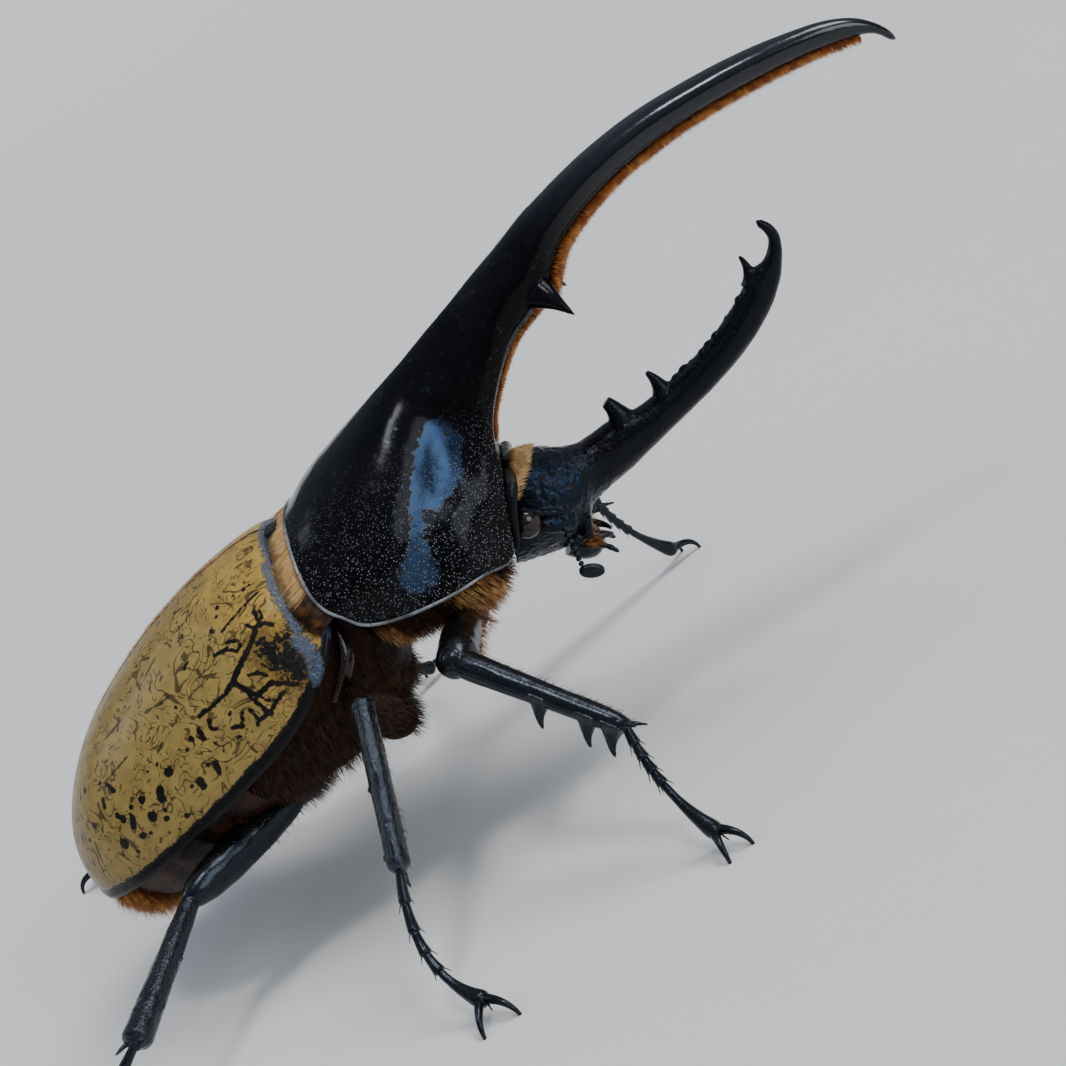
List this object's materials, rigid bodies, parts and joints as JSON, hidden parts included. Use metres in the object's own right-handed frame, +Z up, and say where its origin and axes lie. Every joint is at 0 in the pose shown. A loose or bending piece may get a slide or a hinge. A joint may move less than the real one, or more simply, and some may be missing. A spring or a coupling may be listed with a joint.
{
  "type": "rhinoceros beetle",
  "caption": "Life-size still model of a large horned male rhinoceros beetle, standing, with a long upper horn, a toothed head horn, olive spotted wing cases and thin clawed legs.",
  "frame": {"origin": "centre of the bounding box in plan, on the floor that the six feet stand on", "axes": "+X towards the head and horns, +Z up from the floor, +Y to the beetle's left"},
  "size_m": [0.1665, 0.1136, 0.0701],
  "materials": {
    "black_shell": "glossy black chitin with fine punctures",
    "brown_shell": "dark brown chitin, softly glossy",
    "wing_case": "glossy olive gold with black spots, streaks and rim",
    "eye": "polished dark brown, finely faceted",
    "hairy_underside": "brown chitin under dense golden orange hair"
  },
  "bodies": {
    "root": {"pronotum": "black_shell", "thoracic_horn_base": "black_shell", "thoracic_horn_shaft": "black_shell", "thoracic_horn_tip": "black_shell", "head": "black_shell", "eye_right": "eye", "eye_left": "eye", "cephalic_horn_base": "black_shell", "cephalic_horn_shaft": "black_shell", "cephalic_horn_hook": "black_shell", "antenna_right": "brown_shell", "antenna_left": "brown_shell", "mouthparts": "brown_shell", "prosternum": "hairy_underside", "scutellum": "black_shell", "elytron_right": "wing_case", "elytron_left": "wing_case", "thorax": "hairy_underside", "abdomen": "brown_shell", "fore_coxa_right": "black_shell", "fore_femur_right": "black_shell", "fore_tibia_right": "black_shell", "fore_tarsus_right": "black_shell", "fore_coxa_left": "black_shell", "fore_femur_left": "black_shell", "fore_tibia_left": "black_shell", "fore_tarsus_left": "black_shell", "mid_coxa_right": "black_shell", "mid_femur_right": "black_shell", "mid_tibia_right": "black_shell", "mid_tarsus_right": "black_shell", "mid_coxa_left": "black_shell", "mid_femur_left": "black_shell", "mid_tibia_left": "black_shell", "mid_tarsus_left": "black_shell", "hind_coxa_right": "black_shell", "hind_femur_right": "black_shell", "hind_tibia_right": "black_shell", "hind_tarsus_right": "black_shell", "hind_coxa_left": "black_shell", "hind_femur_left": "black_shell", "hind_tibia_left": "black_shell", "hind_tarsus_left": "black_shell"}
  },
  "joints": []
}
